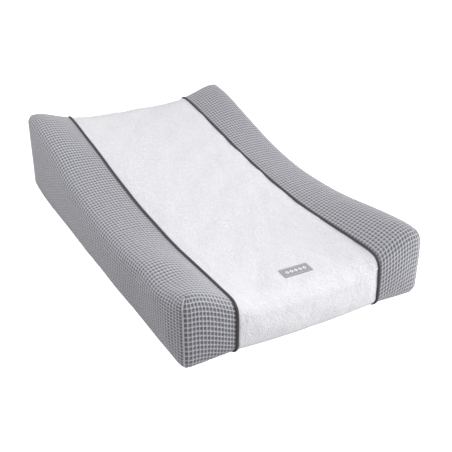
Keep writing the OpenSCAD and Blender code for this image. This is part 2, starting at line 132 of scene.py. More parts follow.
WAVE_SIZES = np.array([0.0006, 0.0003, 0.0003])
ABOVE_FLOOR = 0.03
LOWEST = 0.0001

# ------------------------------------------------------------------ shape of the pad


def ease(t):
    return t * t * (3 - 2 * t)


def clamp(t):
    return np.clip(t, 0, 1)


def bell(away, width):
    return np.exp(-((away / width) ** 2))


def grounded(points, lowest):
    """Keeps points from sinking below a height."""
    points[..., 2] = np.maximum(points[..., 2], lowest)
    return points


def unit(vectors):
    return vectors / np.linalg.norm(vectors, axis=-1)[..., None]


def run_along(path):
    """Distance along a path from its start to each of its points."""
    return np.concatenate([[0], np.cumsum(np.linalg.norm(np.diff(path, axis=0), axis=1))])


def crest_z(y):
    """Height of the bolster crest."""
    to_foot = clamp((WAIST_Y - y) / (WAIST_Y + HALF_LENGTH))
    to_head = clamp((y - WAIST_Y) / (HALF_LENGTH - WAIST_Y))
    foot_rise = (FOOT_CREST - WAIST_CREST) * ease(to_foot)
    return WAIST_CREST + foot_rise + (HEAD_CREST - WAIST_CREST) * ease(to_head**CREST_POWER)


def valley_z(y):
    """Height of the middle of the pad."""
    t = clamp((y + HALF_LENGTH) / (2 * HALF_LENGTH))
    share = VALLEY_RAMP * t + (1 - VALLEY_RAMP) * ease(t**VALLEY_POWER)
    return FOOT_VALLEY + (HEAD_VALLEY - FOOT_VALLEY) * share


def pad_top(x, y):
    """Height of the top: a cradle that rises from the valley to the crest."""
    share = (y + HALF_LENGTH) / (2 * HALF_LENGTH)
    power = FOOT_CRADLE_POWER + (HEAD_CRADLE_POWER - FOOT_CRADLE_POWER) * share
    rise = np.sin(QUARTER * np.minimum(1, abs(x) / CORE_X) ** power) ** 2
    return valley_z(y) + (crest_z(y) - valley_z(y)) * rise


def bowed(x, y):
    """The plan's sides and ends bow outwards a little."""
    span = HALF_WIDTH - SEAM_X - SEAM_MARGIN
    beyond = clamp((abs(x) - SEAM_X - SEAM_MARGIN) / span)
    return (
        x - np.sign(x) * BOW * (y / HALF_LENGTH) ** 2 * beyond,
        y - y / HALF_LENGTH * BOW * (x / HALF_WIDTH) ** 2,
    )


# A station is (core x, core y, outward x, outward y, hem x, hem y), a row of an array.


def stations(*columns):
    return np.stack(np.broadcast_arrays(*(np.asarray(c, float) for c in columns)), axis=-1)


def end_stations(xs, end):
    """Along the foot end (end -1) or the head end (end 1)."""
    start, corner = SEAM_X + SEAM_MARGIN, HEM_X - HEM_CORNER_R
    past = np.maximum(0, abs(xs) - start) * (corner - start) / (CORE_X - start)
    hem = np.sign(xs) * (np.minimum(abs(xs), start) + past)
    return stations(xs, end * CORE_Y, 0, end, hem, end * (HEM_Y - TUCK))


def side_stations(ys, side):
    """Along the left side (side -1) or the right side (side 1)."""
    hem = ys / CORE_Y * (HEM_Y - HEM_CORNER_R)
    return stations(side * CORE_X, ys, side, 0, side * (HEM_X - TUCK), hem)


def corner_stations(side, end, turns):
    """Round a corner; a turn of 0 faces the end and a quarter turn faces the side."""
    nx, ny = side * np.sin(turns), end * np.cos(turns)
    hem_r = HEM_CORNER_R - TUCK
    return stations(
        side * CORE_X, end * CORE_Y, nx, ny,
        side * (HEM_X - HEM_CORNER_R) + hem_r * nx, end * (HEM_Y - HEM_CORNER_R) + hem_r * ny,
    )


def edge_length(st):
    """Length of the way from the crest to the end of the lower edge."""
    return (RIM_R + LOW_R) * QUARTER + pad_top(st[..., 0], st[..., 1]) - RIM_R - LOW_R


def skin(st, run, under_share, inset=0.0, under=FOOT_GAP):
    """Points at distances run from the crest, down the rolled edge, the wall and the lower edge,
    and then at a share of the way under the pad to the hem."""
    x, y, nx, ny, hem_x, hem_y = (st[:, None, i] for i in range(6))
    top = pad_top(x, y) - RIM_R
    drop = top - LOW_R
    roll = np.clip(run / RIM_R, 0, QUARTER)
    down = np.clip(run - RIM_R * QUARTER, 0, drop)
    turn = np.clip((run - RIM_R * QUARTER - drop) / LOW_R, 0, QUARTER)
    out = (RIM_R - inset) * np.sin(roll) - (LOW_R - inset) * (1 - np.cos(turn))
    z = top + (RIM_R - inset) * np.cos(roll) - down - (LOW_R - under) * np.sin(turn)
    px, py = bowed(x + out * nx, y + out * ny)
    return np.stack([px + (hem_x - px) * under_share, py + (hem_y - py) * under_share, z], -1)


def wall(st, spacing, under=CORE_X - HEM_X, every=1):
    """Points below each station, in lines spaced evenly from the crest down to the lower edge and
    then closing up under the pad to reach the hem at the last line. There are lines enough for the
    longest way to the edge and `under` more, in whole lots of `every`. Gives the points and how
    far each is along the part under the pad, from 0 to 1."""
    edge = edge_length(st)[:, None]
    lines = math.ceil((edge.max() + under) / (spacing * every)) * every
    run = (np.arange(lines + 1) * spacing)[None, :]
    f = clamp((run - edge) / (lines * spacing - edge))
    return skin(st, run, f), f


def stepped(st, steps, inset, under):
    """Points at steps: 0 to 1 over the rolled edge, 1 to 2 down the wall, 2 to 3 round below."""
    steps = np.asarray(steps, float)[None, :]
    drop = (edge_length(st) - (RIM_R + LOW_R) * QUARTER)[:, None]
    run = RIM_R * QUARTER * clamp(steps) + drop * clamp(steps - 1)
    return skin(st, run + LOW_R * QUARTER * clamp(steps - 2), 0.0, inset, under)


def whole_ring(spacing):
    """Stations all round the pad, ending where they start."""
    xs = np.linspace(-CORE_X, CORE_X, 2 * round(CORE_X / spacing) + 1)
    ys = np.linspace(-CORE_Y, CORE_Y, 2 * round(CORE_Y / spacing) + 1)
    turns = QUARTER * np.linspace(0, 1, 7)
    ring = np.concatenate([
        corner_stations(-1, -1, turns), side_stations(ys[1:-1], -1),
        corner_stations(-1, 1, turns[::-1]), end_stations(xs[1:-1], 1),
        corner_stations(1, 1, turns), side_stations(ys[::-1][1:-1], 1),
        corner_stations(1, -1, turns[::-1]), end_stations(xs[::-1][1:-1], -1),
    ])
    return xs, ys, np.concatenate([ring, ring[:1]])


def top_grid(xs, ys, inset=0.0):
    x, y = np.meshgrid(xs, ys)
    px, py = bowed(x, y)
    return np.stack([px, py, pad_top(x, y) - inset], -1)


# ------------------------------------------------------------------ soft variation

PLANE_WAVES = 6


def waves(points, wavelength, seed):
    """Smooth variation from about -1 to 1: a few plane waves in directions drawn from the seed."""
    rng = np.random.default_rng(seed)
    directions = unit(rng.normal(size=(PLANE_WAVES, 3)))
    stretch = rng.uniform(0.7, 1.5, PLANE_WAVES)
    phases = rng.uniform(0, 2 * math.pi, PLANE_WAVES)
    total = np.zeros(points.shape[:-1])
    for direction, share, phase in zip(directions, stretch, phases):
        total += np.sin(points @ direction * (2 * math.pi * share / wavelength) + phase)
    return total / math.sqrt(PLANE_WAVES)


def ditch(points):
    """How far the fabric dips beside the piping."""
    return DITCH_DEPTH * bell(abs(points[..., 0]) - SEAM_X, DITCH_WIDTH)


def settled(points):
    """How the soft layers lie: slow waves, the head's lower corners and the foot's seams drawn up,
    a slack rim and corners at the foot, a dent in the left rim, and the simulated cover's bulge."""
    p = np.array(points, float)
    moved = np.stack([waves(p, 0.16, seed) for seed in (11, 12, 13)], -1)
    p += moved * WAVE_SIZES * clamp(p[..., 2:] / ABOVE_FLOOR)
    x, y, z = (p[..., k].copy() for k in range(3))
    low = ease(clamp(1 - z / LIFT_HEIGHT))
    to_corner = np.hypot(abs(x) - HALF_WIDTH, abs(y) - HALF_LENGTH)
    p[..., 2] += HEAD_CORNER_LIFT * (y > 0) * bell(to_corner, CORNER_REACH) * low

    near_seam = bell(abs(x) - SEAM_X, SEAM_REACH)
    at_foot = clamp((-HEM_Y - y) / (HALF_LENGTH - HEM_Y))
    p[..., 2] += SEAM_LIFT * near_seam * at_foot * low
    p[..., 0] -= np.sign(x) * SEAM_PULL * near_seam * ease(at_foot)

    inner_x = np.minimum(abs(x), CORE_X)
    rim = pad_top(inner_x, -CORE_Y) - RIM_R * (1 - ROOT_HALF)
    from_rim = np.hypot(y + CORE_Y + RIM_R * ROOT_HALF, z - rim)
    more_right = 1 + RIGHT_SLACK * ease(clamp(x / SEAM_X))
    slack = RIM_SLACK * more_right * bell(from_rim, RIM_REACH)
    p[..., 1] += slack * ROOT_HALF
    p[..., 2] -= slack * ROOT_HALF
    tip = np.stack([abs(x) - HALF_WIDTH, y + HALF_LENGTH, z - FOOT_CREST], -1)
    at_tip = TIP_SLACK * bell(np.linalg.norm(tip, axis=-1), TIP_REACH) / math.sqrt(3)
    p -= at_tip[..., None] * np.stack([np.sign(x), -np.ones_like(x), np.ones_like(x)], -1)
    dent = bell(x + CORE_X, DENT_WIDTH) * bell(y - DENT_Y, DENT_LENGTH)
    p[..., 2] -= DENT * dent * ease(clamp(z / FOOT_CREST))
    if cover_bulge is not None:
        p += sample_lattice(cover_bulge, p)
    return grounded(p, LOWEST)


# ------------------------------------------------------------------ meshes


def grid_faces(rows, columns, start, flip):
    i = np.arange(rows - 1)[:, None] * columns + np.arange(columns - 1)[None, :] + start
    quads = np.stack([i, i + columns, i + columns + 1, i + 1], -1).reshape(-1, 4)
    return quads[:, ::-1] if flip else quads


def faces_inward(grid):
    """Whether a grid of the pad's skin has to be turned over for its faces to look outwards."""
    across, down = grid[1:, :-1] - grid[:-1, :-1], grid[:-1, 1:] - grid[:-1, :-1]
    return (np.cross(across, down) * (grid[:-1, :-1] - PAD_CENTRE)).sum() < 0


def joined(grids):
    """One set of points, quads and per-point data from grids of (points, data, flip)."""
    points, data, quads, start = [], [], [], 0
    for grid, values, flip in grids:
        rows, columns = grid.shape[:2]
        points.append(grid.reshape(-1, 3))
        data.append(values.reshape(rows * columns, -1))
        quads.append(grid_faces(rows, columns, start, flip))
        start += rows * columns
    return np.concatenate(points), np.concatenate(data), np.concatenate(quads)


def merged(points):
    """The first point of each group that shares a place, and the group of each point."""
    _, first, which = np.unique(
        np.round(points, 6), axis=0, return_index=True, return_inverse=True
    )
    return first, which.reshape(-1)


def welded(points, data, quads):
    """Merges the points that lie in the same place."""
    first, which = merged(points)
    return points[first], data[first], which[quads]


def faces_of(quads):
    """Faces without repeated corners; what closes to a line is left out."""
    same = (quads == np.roll(quads, -1, axis=1)).any(axis=1)
    faces = quads[~same].tolist()
    for quad in quads[same].tolist():
        corners = list(dict.fromkeys(quad))
        if len(corners) == 3:
            faces.append(corners)
    return faces


def across_quads(points, quads):
    """A vector at right angles to each quad, as long as twice its area."""
    a, b, c, d = (points[quads[:, corner]] for corner in range(4))
    return np.cross(c - a, d - b)


def point_normals(points, quads):
    face_normals = across_quads(points, quads)
    total = np.zeros_like(points)
    for corner in range(4):
        np.add.at(total, quads[:, corner], face_normals)
    return total / np.maximum(np.linalg.norm(total, axis=1), 1e-12)[:, None]


def surface_area(points, quads):
    """Area of a set of quads, in square metres."""
    return float(np.linalg.norm(across_quads(points, quads), axis=1).sum() / 2)


def make_piece(name, points, faces, material, slot, replaces=(), uv=None, **fields):
    """A shown piece that rides on the pad: its mesh, UV map and attributes, and its material."""
    mesh = bpy.data.meshes.new(name)
    mesh.from_pydata(np.asarray(points).tolist(), [], [list(f) for f in faces])
    if uv is not None:
        layer = mesh.uv_layers.new(name="weave")
        corners = np.zeros(len(mesh.loops), np.int32)
        mesh.loops.foreach_get("vertex_index", corners)
        layer.data.foreach_set("uv", np.asarray(uv, np.float32)[corners].reshape(-1))
    for field, values in fields.items():
        attribute = mesh.attributes.new(field, "FLOAT", "POINT")
        attribute.data.foreach_set("value", np.asarray(values, np.float32))
    mesh.validate()
    mesh.shade_smooth()
    mesh.materials.append(material)
    piece = bpy.data.objects.new(name, mesh)
    scene.collection.objects.link(piece)
    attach(piece, "root")
    if replaces:
        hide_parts(*replaces)
    return piece


def ring_quads(rings, sides, closed):
    """The quads between rings of points, in rows of one ring each."""
    i = np.arange(rings if closed else rings - 1)[:, None]
    k = np.arange(sides)[None, :]
    here, there = i * sides, (i + 1) % rings * sides
    return np.stack([here + k, here + (k + 1) % sides, there + (k + 1) % sides, there + k], -1)


def tube(path, side, radius, sides, flatten=1.0):
    """A tube round a path. side is the direction, at each point, that the first corner faces; a
    flatten below 1 makes the tube lower than it is wide. Gives points, faces and UVs in metres."""
    path = np.asarray(path, float)
    ahead = unit(np.gradient(path, axis=0))
    side = unit(side - (side * ahead).sum(1)[:, None] * ahead)
    up = np.cross(ahead, side)
    angles = 2 * math.pi * np.arange(sides) / sides
    radius = np.broadcast_to(np.asarray(radius, float), (len(path),))[:, None, None]
    around = np.cos(angles)[None, :, None] * side[:, None] + (
        flatten * np.sin(angles)[None, :, None] * up[:, None]
    )
    points = (path[:, None] + radius * around).reshape(-1, 3)
    rings = len(path)
    faces = ring_quads(rings, sides, closed=False).reshape(-1, 4).tolist()
    faces.append(list(range(sides))[::-1])
    faces.append([(rings - 1) * sides + k for k in range(sides)])
    round_it = np.tile(angles * float(radius.mean()), rings)
    return points, faces, np.stack([np.repeat(run_along(path), sides), round_it], -1)


def two_sided(upper, lower, data):
    """A sheet closed round its edges, from the grids of its top and its underside."""
    points, data, quads = joined([(upper, data, True), (lower, data, False)])
    rows, columns = upper.shape[:2]
    index = np.arange(rows * columns).reshape(rows, columns)
    rim = np.concatenate([index[0], index[1:, -1], index[-1, -2::-1], index[-2:0:-1, 0]])
    after = np.roll(rim, -1)
    edges = np.stack([rim, rim + index.size, after + index.size, after], -1)
    return points, data, np.concatenate([quads, edges]).tolist()


def thicken(piece, thickness):
    modifier = piece.modifiers.new("thickness", "SOLIDIFY")
    modifier.thickness, modifier.offset = thickness, -1.0


def gathered(parts):
    """Joins (points, faces, uv) parts into one."""
    points, faces, uvs, start = [], [], [], 0
    for part_points, part_faces, part_uv in parts:
        points.append(part_points)
        uvs.append(part_uv)
        faces += [[start + k for k in f] for f in part_faces]
        start += len(part_points)
    return np.concatenate(points), faces, np.concatenate(uvs)


def stitch_row(path, outward, pitch, length, radius):
    """Short raised threads along a path, each a spindle half sunk in the fabric."""
    path, outward = np.asarray(path, float), np.asarray(outward, float)
    run, parts = run_along(path), []
    for start in np.arange(pitch / 2, run[-1] - length, pitch):
        at = start + length * np.array([0, 0.25, 0.75, 1])
        middle = np.stack([np.interp(at, run, path[:, k]) for k in range(3)], -1)
        up = np.stack([np.interp(at, run, outward[:, k]) for k in range(3)], -1)
        middle += up * radius * np.array([-0.5, 0.5, 0.5, -0.5])[:, None]
        across = np.cross(up, middle[-1] - middle[0])
        parts.append(tube(middle, across, radius * np.array([0.4, 1, 1, 0.4]), 6))
    return gathered(parts)


# ------------------------------------------------------------------ materials


class Finish:
    """A material under construction: a Principled shader and the nodes that feed it."""

    def __init__(self, name, **sockets):
        self.material = bpy.data.materials.new(name)
        self.material.use_nodes = True
        self.tree = self.material.node_tree
        self.shader = self.tree.nodes["Principled BSDF"]
        for socket, value in sockets.items():
            self.shader.inputs[socket.replace("_", " ")].default_value = value
        self.place = self.node("ShaderNodeTexCoord")

    def feed(self, socket, value):
        """Links a socket to another node's output, or sets its own value."""
        if isinstance(value, bpy.types.NodeSocket):
            self.tree.links.new(value, socket)
        else:
            socket.default_value = value

    def node(self, kind, inputs=(), **settings):
        made = self.tree.nodes.new(kind)
        for key, value in settings.items():
            setattr(made, key, value)
        for socket, value in dict(inputs).items():
            self.feed(made.inputs[socket], value)
        return made

    def noise(self, scale, detail=2.0):
        inputs = {"Vector": self.place.outputs["Object"], "Scale": scale, "Detail": detail}
        return self.node("ShaderNodeTexNoise", inputs).outputs["Fac"]

    def bands(self, scale, direction, distortion=0.0):
        inputs = {"Vector": self.place.outputs["UV"], "Scale": scale, "Distortion": distortion}
        made = self.node("ShaderNodeTexWave", inputs, bands_direction=direction)
        return made.outputs["Fac"]

    def cells(self, scale):
        inputs = {"Vector": self.place.outputs["Object"], "Scale": scale}
        return self.node("ShaderNodeTexVoronoi", inputs).outputs["Distance"]

    def attribute(self, name):
        return self.node("ShaderNodeAttribute", attribute_name=name).outputs["Fac"]

    def math(self, operation, a, b=0.0):
        return self.node("ShaderNodeMath", {0: a, 1: b}, operation=operation).outputs[0]

    def ramp(self, factor, *stops):
        made = self.node("ShaderNodeValToRGB", {"Fac": factor})
        elements = made.color_ramp.elements
        while len(elements) < len(stops):
            elements.new(0.5)
        for element, (position, colour) in zip(elements, stops):
            element.position = position
            element.color = (*colour, 1.0)
        return made.outputs["Color"]

    def mix(self, factor, a, b, blend="MIX"):
        made = self.node("ShaderNodeMix", data_type="RGBA", blend_type=blend)
        for socket, value in ((0, factor), (6, a), (7, b)):
            self.feed(made.inputs[socket], value)
        return made.outputs[2]

    def colour(self, socket):
        self.tree.links.new(socket, self.shader.inputs["Base Color"])

    def roughness(self, factor, low, high):
        made = self.node("ShaderNodeMapRange", {"Value": factor, "To Min": low, "To Max": high})
        self.tree.links.new(made.outputs["Result"], self.shader.inputs["Roughness"])

    def bumps(self, *heights):
        """Bumps on top of each other, each given as (height, strength, distance in metres)."""
        normal = None
        for height, strength, distance in heights:
            inputs = {"Height": height, "Strength": strength, "Distance": distance}
            if normal is not None:
                inputs["Normal"] = normal
            normal = self.node("ShaderNodeBump", inputs).outputs["Normal"]
        self.tree.links.new(normal, self.shader.inputs["Normal"])


BANDS_PER_SCALE = 10 / math.pi  # bands that a wave texture of scale 1 makes in one unit


def tinted(finish, base, spread, scale):
    """A colour that varies a little from place to place."""
    dark = tuple(c * (1 - spread) for c in base)
    light = tuple(min(1, c * (1 + spread)) for c in base)
    return finish.ramp(finish.noise(scale, 3.0), (0.35, dark), (0.65, light))


def waffle_finish():
    """Honeycomb cotton: raised yarns round pits, with fine yarn ribs; painted shade darkens the
    colour down the slopes and into the pits.
    """
    finish = Finish("waffle_cotton", Roughness=0.95)
    # Painted shade: the ramp darkens the yarn colour from the ridges down the slopes into the pits,
    # where shade falls in each cell.
    pit = finish.attribute("pit")
    weave = finish.ramp(pit, (0.05, WAFFLE_RIDGE), (0.35, WAFFLE_SLOPE_SHADE), (0.8, WAFFLE_PIT_SHADE))
    heather = tinted(finish, (0.94, 0.94, 0.94), 0.06, 700.0)
    finish.colour(finish.mix(1.0, weave, heather, "MULTIPLY"))
    ribs = 6 / BANDS_PER_SCALE
    yarn = finish.math("ADD", finish.bands(ribs, "X", 0.6), finish.bands(ribs, "Y", 0.6))
    finish.bumps((yarn, 0.35, 0.0003), (finish.noise(1800.0), 0.35, 0.0003))
    return finish.material


def terry_finish():
    """White towelling: a nap of small loops, with painted shade darkening the roots between them."""
    finish = Finish("terry_towelling", Roughness=0.95, Sheen_Weight=0.2, Sheen_Roughness=0.6)
    # Painted shade: the colour darkens from each loop's tip to its root, where shade falls between
    # the loops.
    loops = finish.ramp(finish.cells(520.0), (0.1, LOOP_TIP), (0.8, LOOP_ROOT_SHADE))
    finish.colour(finish.mix(0.5, loops, tinted(finish, TERRY_TINT, 0.02, 160.0)))
    finish.bumps(
        (finish.noise(150.0, 3.0), 0.35, 0.0020),
        (finish.cells(480.0), 0.8, 0.0012),
        (finish.noise(900.0, 4.0), 0.5, 0.0008),
    )
    return finish.material


def piping_finish():
    """Dark bias-cut cotton over the cord, with a diagonal twill."""
    finish = Finish("piping_cotton", Roughness=0.7, Sheen_Weight=0.1)
    turned = finish.node(
        "ShaderNodeMapping",
        {"Vector": finish.place.outputs["UV"], "Rotation": (0, 0, math.radians(45))},
    ).outputs["Vector"]
    twill = finish.node("ShaderNodeTexWave", {"Vector": turned, "Scale": 400.0}).outputs["Fac"]
    finish.colour(finish.mix(
        1.0,
        finish.ramp(twill, (0.0, PIPING_DARK), (1.0, PIPING_LIGHT)),
        tinted(finish, (0.95, 0.95, 0.95), 0.05, 300.0), "MULTIPLY"))
    finish.bumps((twill, 0.5, 0.0003), (finish.noise(2500.0), 0.3, 0.0002))
    return finish.material


def woven_finish(name, base, ribs, roughness=0.85, depth=0.0002, **sockets):
    """Plain woven or knitted cloth with ribs in both directions, so many to the metre."""
    finish = Finish(name, Roughness=roughness, **sockets)
    finish.colour(tinted(finish, base, 0.05, 220.0))
    scale = ribs / BANDS_PER_SCALE
    weave = finish.math("MULTIPLY", finish.bands(scale, "X"), finish.bands(scale, "Y"))
    finish.bumps((weave, 0.5, depth), (finish.noise(1500.0), 0.3, depth))
    return finish.material


def foam_finish():
    finish = Finish("open_cell_foam", Roughness=0.95)
    # Painted shade: the colour darkens towards the middle of each cell, where the pores lie in shade.
    finish.colour(finish.ramp(
        finish.cells(700.0), (0.0, (0.60, 0.53, 0.33)), (0.5, (0.86, 0.79, 0.58))))
    finish.bumps((finish.cells(700.0), 0.6, 0.0008), (finish.noise(90.0), 0.3, 0.002))
    return finish.material


def plain_finish(name, base, roughness, spread, scale, depth, **sockets):
    """A moulded or metal finish with slight wear: colour, roughness and surface vary a little."""
    finish = Finish(name, **sockets)
    finish.colour(tinted(finish, base, spread, scale))
    finish.roughness(finish.noise(scale * 2, 4.0), roughness * 0.8, roughness * 1.2)
    finish.bumps((finish.noise(scale * 4, 4.0), 0.25, depth))
    return finish.material


def label_finish():
    """Woven label: grey ground, lighter border and a row of small white diamonds."""
    finish = Finish("woven_label_cloth", Roughness=0.75, Sheen_Weight=0.1)
    math_node = finish.math
    uv = finish.node("ShaderNodeSeparateXYZ", {"Vector": finish.place.outputs["UV"]})
    across, along = uv.outputs["X"], uv.outputs["Y"]
    repeat = math_node("DIVIDE", across, MOTIF_PITCH)
    turn = math_node("FRACT", math_node("ADD", repeat, MOTIF_COUNT / 2))
    from_middle = math_node("ABSOLUTE", math_node("SUBTRACT", turn, 0.5))
    width = math_node("MULTIPLY", from_middle, MOTIF_PITCH)
    height = math_node("MULTIPLY", math_node("ABSOLUTE", along), 0.8)
    size = math_node("ADD", width, height)
    diamond = math_node("LESS_THAN", size, MOTIF_SIZE)
    hollow = math_node("GREATER_THAN", size, MOTIF_SIZE * 0.36)
    in_row = math_node("LESS_THAN", math_node("ABSOLUTE", repeat), MOTIF_COUNT / 2)
    mark = math_node("MULTIPLY", math_node("MULTIPLY", diamond, hollow), in_row)
    ground = tinted(finish, LABEL_GREY, 0.06, 600.0)
    border = finish.mix(finish.attribute("border"), ground, (*LABEL_BORDER, 1.0))
    finish.colour(finish.mix(mark, border, (*MOTIF_WHITE, 1.0)))
    weave = math_node("ADD", finish.bands(LABEL_WARP / BANDS_PER_SCALE, "X"),
                      finish.bands(LABEL_WEFT / BANDS_PER_SCALE, "Y"))
    finish.bumps((weave, 0.4, 0.00015), (mark, 0.5, 0.0002))
    return finish.material


# Waffle colours: the ridge is the yarn's own colour; the slope and pit colours are painted shade for
# the cells' hollows.
WAFFLE_RIDGE = (0.56, 0.56, 0.597)
WAFFLE_SLOPE_SHADE = (0.36, 0.36, 0.39)
WAFFLE_PIT_SHADE = (0.19, 0.19, 0.215)
# Terry colours: the loop tip and the tint are the towelling's own white; the root colour is painted
# shade between the loops.
LOOP_TIP = (0.725, 0.717, 0.744)
LOOP_ROOT_SHADE = (0.545, 0.537, 0.564)
TERRY_TINT = (0.70, 0.692, 0.723)
PIPING_DARK, PIPING_LIGHT = (0.030, 0.024, 0.030), (0.068, 0.056, 0.066)
LABEL_GREY = (0.28, 0.28, 0.296)
LABEL_BORDER = (0.35, 0.35, 0.365)
LABEL_WARP, LABEL_WEFT = 1500, 2200
MOTIF_WHITE = (0.74, 0.74, 0.75)
MOTIF_PITCH, MOTIF_COUNT, MOTIF_SIZE = 0.0078, 5, 0.0034

WAFFLE = waffle_finish()
TERRY = terry_finish()
PIPING = piping_finish()
LABEL = label_finish()
FOAM = foam_finish()
HEM_CLOTH = woven_finish("hem_cotton", (0.40, 0.40, 0.43), 1100, Sheen_Weight=0.1)
COATED = woven_finish("coated_knit", (0.84, 0.85, 0.87), 700, roughness=0.5, Coat_Weight=0.15)
SEAM_TAPE = plain_finish("sealed_tape", (0.78, 0.79, 0.81), 0.45, 0.03, 120.0, 0.0002)
TAPE = woven_finish("zip_tape_cloth", (0.74, 0.74, 0.745), 1400)
ELASTIC = woven_finish("braided_elastic", (0.80, 0.78, 0.73), 900, depth=0.0004)
SATIN = woven_finish("satin_tape", (0.90, 0.90, 0.90), 3000, roughness=0.4, depth=0.0001)
NYLON = plain_finish("nylon_coil", (0.72, 0.72, 0.73), 0.35, 0.04, 200.0, 0.0001)
METAL = plain_finish("enamelled_zinc", (0.34, 0.34, 0.36), 0.35, 0.10, 250.0, 0.0001, Metallic=0.7)
THREAD = woven_finish("sewing_thread", (0.62, 0.62, 0.65), 2500, roughness=0.6)

# ------------------------------------------------------------------ simulated fabric

SIM_GRID = 0.008
SIM_FRAMES = 20
SIM_CAP = 0.002
SIM_START = 0.0015
SIM_GROWTH = -0.004
SIM_PRESSURE = 4.0
SIM_STIFFNESS, SIM_BENDING, SIM_QUALITY = 12.0, 0.4, 6
HELD, SEAM_HELD, CORNER_HELD, HELD_BELOW = 0.10, 0.85, 0.7, 0.012
SEAM_GRIP, CORNER_GRIP = 0.010, 0.022
LATTICE = 0.010


def simulated_cover():
    """Lets the cover's cloth swell over the foam between its seams, as Blender's cloth, and gives
    the displacement as a lattice. The seams, the corners and the turned-under edge hold it."""
    xs, ys, ring = whole_ring(SIM_GRID)
    around, _ = wall(ring, SIM_GRID)
    share = np.linspace(1, 0, 12)[None, :, None]
    floor = np.concatenate([around[:, -1:, :2] * share, np.repeat(around[:, -1:, 2:], 12, 1)], -1)
    grids = [top_grid(xs, ys), around, floor]
    points, _, quads = welded(*joined([(g, g[..., :1], faces_inward(g)) for g in grids]))
    start = points - SIM_START * point_normals(points, quads)

    to_seam = abs(abs(points[:, 0]) - SEAM_X)
    to_corner = np.hypot(abs(points[:, 0]) - HALF_WIDTH, abs(points[:, 1]) - HALF_LENGTH)
    held = HELD + SEAM_HELD * bell(to_seam, SEAM_GRIP) + CORNER_HELD * bell(to_corner, CORNER_GRIP)
    held = np.where(points[:, 2] < HELD_BELOW, 1.0, np.minimum(held, 0.98))

    mesh = bpy.data.meshes.new("simulated_cover")
    mesh.from_pydata(start.tolist(), [], faces_of(quads))
    body = bpy.data.objects.new("simulated_cover", mesh)
    scene.collection.objects.link(body)
    group = body.vertex_groups.new(name="held")
    for index, weight in enumerate(held.tolist()):
        group.add([index], weight, "REPLACE")
    cloth = body.modifiers.new("cloth", "CLOTH")
    settings = cloth.settings
    settings.quality = SIM_QUALITY
    settings.use_pressure = True
    settings.uniform_pressure_force = SIM_PRESSURE
    settings.effector_weights.gravity = 0.0
    settings.vertex_group_mass = "held"
    settings.pin_stiffness = 1.0
    settings.tension_stiffness = settings.compression_stiffness = SIM_STIFFNESS
    settings.bending_stiffness = SIM_BENDING
    settings.shrink_min = SIM_GROWTH
    cloth.point_cache.frame_start, cloth.point_cache.frame_end = 1, SIM_FRAMES
    for number in range(1, SIM_FRAMES + 1):
        scene.frame_set(number)
    relaxed = body.evaluated_get(bpy.context.evaluated_depsgraph_get()).to_mesh()
    after = np.zeros(len(points) * 3)
    relaxed.vertices.foreach_get("co", after)
    bpy.data.objects.remove(body)
    scene.frame_set(1)
    moved = after.reshape(-1, 3) - points
    length = np.linalg.norm(moved, axis=1)[:, None]
    moved *= np.minimum(1, SIM_CAP / np.maximum(length, 1e-9))
    return lattice_of(points, moved)


def nodes_round(points, low, shape):
    """The eight lattice nodes round each point, and the weight of each node for the point."""
    at = (points - low) / LATTICE
    base = np.clip(np.floor(at).astype(int), 0, np.array(shape) - 2)
    part = clamp(at - base)
    for corner in np.ndindex(2, 2, 2):
        yield tuple((base + corner).T), np.where(corner, part, 1 - part).prod(axis=1)


def lattice_of(points, moved):
    """Spreads scattered displacements on a regular lattice; empty nodes take their neighbours'."""
    low = points.min(0) - 2 * LATTICE
    shape = np.ceil((points.max(0) + 2 * LATTICE - low) / LATTICE).astype(int) + 1
    total, weights = np.zeros((*shape, 3)), np.zeros(shape)
    for nodes, weight in nodes_round(points, low, shape):
        np.add.at(total, nodes, weight[:, None] * moved)
        np.add.at(weights, nodes, weight)
    for _ in range(3):
        values = total / np.maximum(weights, 1e-9)[..., None]
        known = (weights > 1e-6).astype(float)
        spread, count = np.zeros_like(total), np.zeros_like(weights)
        for axis in range(3):
            for step in (-1, 1):
                count += np.roll(known, step, axis)
                spread += np.roll(values * known[..., None], step, axis)
        empty = (known == 0) & (count > 0)
        total[empty], weights[empty] = spread[empty] / count[empty][:, None], 1.0
    return total / np.maximum(weights, 1e-9)[..., None], low


def sample_lattice(lattice, points):
    """Displacement at each point, from the eight lattice nodes round it."""
    values, low = lattice
    flat = points.reshape(-1, 3)
    total = np.zeros_like(flat)
    for nodes, weight in nodes_round(flat, low, values.shape[:3]):
        total += weight[:, None] * values[nodes]
    return total.reshape(points.shape)


cover_bulge = simulated_cover()

# ------------------------------------------------------------------ cover


def ridge(t):
    """1 on the yarn ridges at whole numbers, 0 in the pits between them."""
    away = abs(t - np.round(t))
    return clamp(1 - away / RIDGE_HALF)


def waffle_relief(u, v):
    return np.maximum(ridge(u), ridge(v))


def gather_phase(points):
    """Where each point lies in the run of small folds that the elastic draws up."""
    run = points[..., 0] + points[..., 1]
    return 2 * math.pi * run / GATHER_WAVE + 1.5 * waves(points, 0.05, 21)


def gather(points, f):
    """Raises the fabric under the pad into small folds that grow towards the hem."""
    p = points.copy()
    p[..., 2] += f * (GATHER_DEPTH * (0.5 + 0.5 * np.sin(gather_phase(p))) + UNDER_LIFT)
    return p


